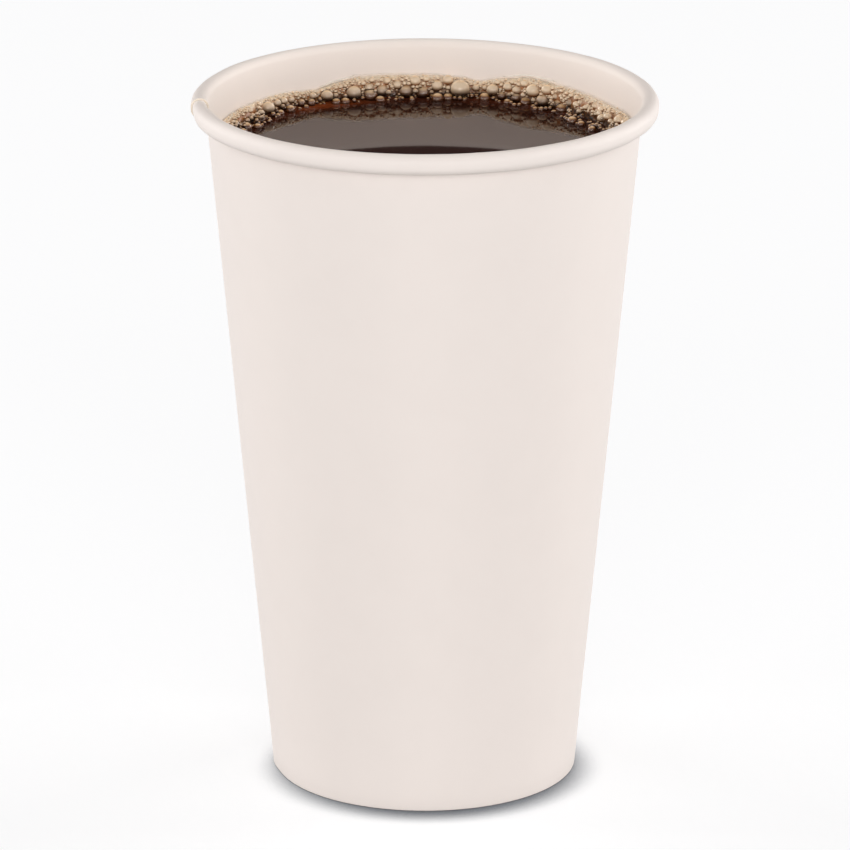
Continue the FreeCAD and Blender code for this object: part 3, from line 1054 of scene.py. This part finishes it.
@dataclass
class Froth:
    """All bubbles: the large ones where the photograph shows them, then smaller ones between."""

    plan: FrothPlan
    seed: int = 11
    squash: float = 0.92
    large_detail: int = 4
    ranges: tuple[BubbleRange, ...] = (
        BubbleRange("froth_middling", 600, (0.8 * MM, 1.35 * MM), (0.0, 0.8), 0.88, 3),
        BubbleRange("froth_small", 8000, (0.36 * MM, 0.84 * MM), (0.0, 0.86), 0.86, 2),
        BubbleRange("froth_fine", 5000, (0.18 * MM, 0.34 * MM), (0.35, 0.95), 0.85, 2),
    )
    crevice_reach: float = 0.3 * MM
    crevice_share: float = 0.45

    def build(self, film: Material) -> None:
        """Plan every bubble, and then grow each range of sizes as a piece of its own."""
        chance = random.Random(self.seed)
        store = self.plan.store
        for place in PHOTO_BUBBLES:
            self.plan.place_by_photo(*place)
        planned = [("froth_large", 0, store.count, self.large_detail)]
        for sizes in self.ranges:
            first = store.count
            self.plan.scatter(sizes, chance)
            planned.append((sizes.name, first, store.count, sizes.detail))
        tree = BubbleTree("bubbles")
        for name, first, last, detail in planned:
            mesh = tree.grow(name, store.rows[first:last], detail, self.squash, film)
            self._mark_crevices(mesh, first, last)
            add_piece(name, mesh, "froth")
            LOG.info("%s: %d bubbles", name, last - first)

    def _mark_crevices(self, mesh: bpy.types.Mesh, first: int, last: int) -> None:
        """Keep on each vertex how near it is to the next bubble, from 0 at it to 1, which the film
        turns into painted crevice shade.
        """
        flat = np.empty(len(mesh.vertices) * 3)
        mesh.vertices.foreach_get("co", flat)
        places = flat.reshape(last - first, -1, 3)
        store = self.plan.store
        reaches = np.minimum(self.crevice_reach, self.crevice_share * store.rows[first:last][:, 3])
        gaps = [store.crevice(first + i, some, reach) / reach
                for i, (some, reach) in enumerate(zip(places, reaches))]
        kept = mesh.attributes.new("bubble_gap", "FLOAT", "POINT")
        kept.data.foreach_set("value", np.concatenate(gaps))


@dataclass(frozen=True)
class Softbox:
    """A soft lamp that points at the middle of the cup."""

    name: str
    place: tuple[float, float, float]
    wide: float
    high: float
    power: float
    aim: tuple[float, float, float] = (0.0, 0.0, 0.07)

    def build(self) -> None:
        """Add the lamp."""
        data = bpy.data.lights.new(self.name, "AREA")
        data.shape = "RECTANGLE"
        data.size, data.size_y = self.wide, self.high
        data.energy = self.power
        lamp = put(self.name, data)
        lamp.location = self.place
        sight = Vector(self.aim) - Vector(self.place)
        lamp.rotation_euler = sight.to_track_quat("-Z", "Y").to_euler()


@dataclass
class Studio:
    """A plain pale floor, a dark card, soft lamps in front and past both sides, and the world."""

    surround: float = 0.28
    lamps: tuple = (
        Softbox("front_light", (0.0, -1.9, 0.62), 1.8, 1.1, 19.2),
        Softbox("right_light", (1.5, -0.9, 0.5), 1.2, 1.0, 7.4),
        Softbox("left_light", (-1.5, -0.9, 0.5), 1.2, 1.0, 7.2),
        Softbox("right_back_light", (1.5, 0.7, 0.6), 1.2, 1.2, 16.0),
        Softbox("left_back_light", (-1.5, 0.7, 0.6), 1.2, 1.2, 15.0),
    )
    floor_grey: tuple = (0.5, 0.5, 0.5, 1.0)
    floor_pale: tuple = (0.45, 0.45, 0.45, 1.0)
    floor_shade: tuple = (0.15, 0.165, 0.19, 1.0)
    floor_glow: tuple = (0.622, 0.622, 0.627, 1.0)
    floor_reach: float = 4.0
    contact: float = 9.5 * MM
    contact_lean: tuple[float, float, float] = (-0.12, 0.6, 0.8)
    contact_span: Point = (0.28, 0.84)
    contact_samples: int = 12
    card_colour: tuple = (0.06, 0.045, 0.045, 1.0)
    card_half: float = 0.5
    card_away: float = 0.75
    card_heights: Point = (0.14, 0.9)

    def build(self) -> None:
        """Make the floor, the dark card, the world and the lamps."""
        self._floor()
        self._card()
        self._world()
        for lamp in self.lamps:
            lamp.build()

    def _plane(self, name: str, corners: Sequence[tuple]) -> bpy.types.Object:
        """A flat stage piece."""
        mesh = bpy.data.meshes.new(name)
        mesh.from_pydata(corners, [], [(0, 1, 2, 3)])
        plane = put(name, mesh)
        return plane

    def _floor(self) -> None:
        """The table: pale where it is looked at, with the cup's shade, and grey as a bounce."""
        far = self.floor_reach
        floor = self._plane("floor", [(-far, -far, 0), (far, -far, 0), (far, far, 0),
                                      (-far, far, 0)])
        shader = Shader("floor_pale")
        path = shader.node("ShaderNodeLightPath")
        seen = sum(shader.wire(path, ray) for ray in SHOWING_RAYS)
        # Painted contact shade: ambient occlusion near the cup darkens the floor's colour and glow,
        # leaned so it falls mostly in front of the cup.
        leaning = shader.wired("ShaderNodeCombineXYZ", dict(zip("XYZ", self.contact_lean)))
        open_to = shader.wired("ShaderNodeAmbientOcclusion",
                               {"Distance": self.contact, "Normal": leaning}, "AO",
                               samples=self.contact_samples)
        clear = open_to.step(*self.contact_span)
        pale = shader.blend(clear, self.floor_shade, self.floor_pale)
        floor.data.materials.append(shader.finish({
            "Base Color": shader.blend(seen, self.floor_grey, pale),
            "Roughness": 1.0,
            "Specular IOR Level": 0.0,
            "Emission Color": shader.blend(seen * clear, BLACK, self.floor_glow),
            "Emission Strength": 1.0,
        }))

    def _card(self) -> None:
        """A dark card behind the cup, which only gloss sees, most of all the coffee's."""
        half, away, (low, high) = self.card_half, self.card_away, self.card_heights
        card = self._plane("dark_card", [(-half, away, low), (half, away, low), (half, away, high),
                                         (-half, away, high)])
        dark = Shader("card_dark").finish({"Base Color": self.card_colour, "Roughness": 1.0})
        card.data.materials.append(dark)
        for ray in ("camera", "diffuse", "transmission", "shadow", "volume_scatter"):
            setattr(card, "visible_" + ray, False)

    def _world(self) -> None:
        """White where the camera or a gloss looks at it, and a plain soft level as light."""
        world = bpy.data.worlds.new("studio")
        world.use_nodes = True
        bpy.context.scene.world = world
        tree = Tree(world.node_tree)
        path = tree.node("ShaderNodeLightPath")
        camera, glossy, through = (tree.wire(path, ray) for ray in SHOWING_RAYS)
        strength = tree.wired("ShaderNodeMapRange",
                              {"Value": camera.most(glossy).most(through),
                               "To Min": self.surround, "To Max": 1.0})
        light = tree.wired("ShaderNodeBackground",
                           {"Color": (1.0, 1.0, 1.0, 1.0), "Strength": strength})
        tree.node("ShaderNodeOutputWorld", {"Surface": light})


def main() -> None:
    """Build the cup, its drink and the studio, in order."""
    logging.basicConfig(level=logging.INFO, format="%(name)s %(message)s")
    bpy.context.scene.view_settings.view_transform = "Standard"
    cup = CupShape()
    viewpoint = Viewpoint()
    viewpoint.build()
    board = BoardFinish().build()
    SideWall(cup).build(board, CutEdgeFinish().build())
    BottomDisc(cup).build(board)
    Coffee(cup).build(CoffeeFinish().build())
    plan = FrothPlan(cup, viewpoint)
    Froth(plan).build(FilmFinish(level=cup.coffee_level).build())
    FineFoam(plan).build(FoamFinish().build())
    Studio().build()


if __name__ == "__main__":
    main()
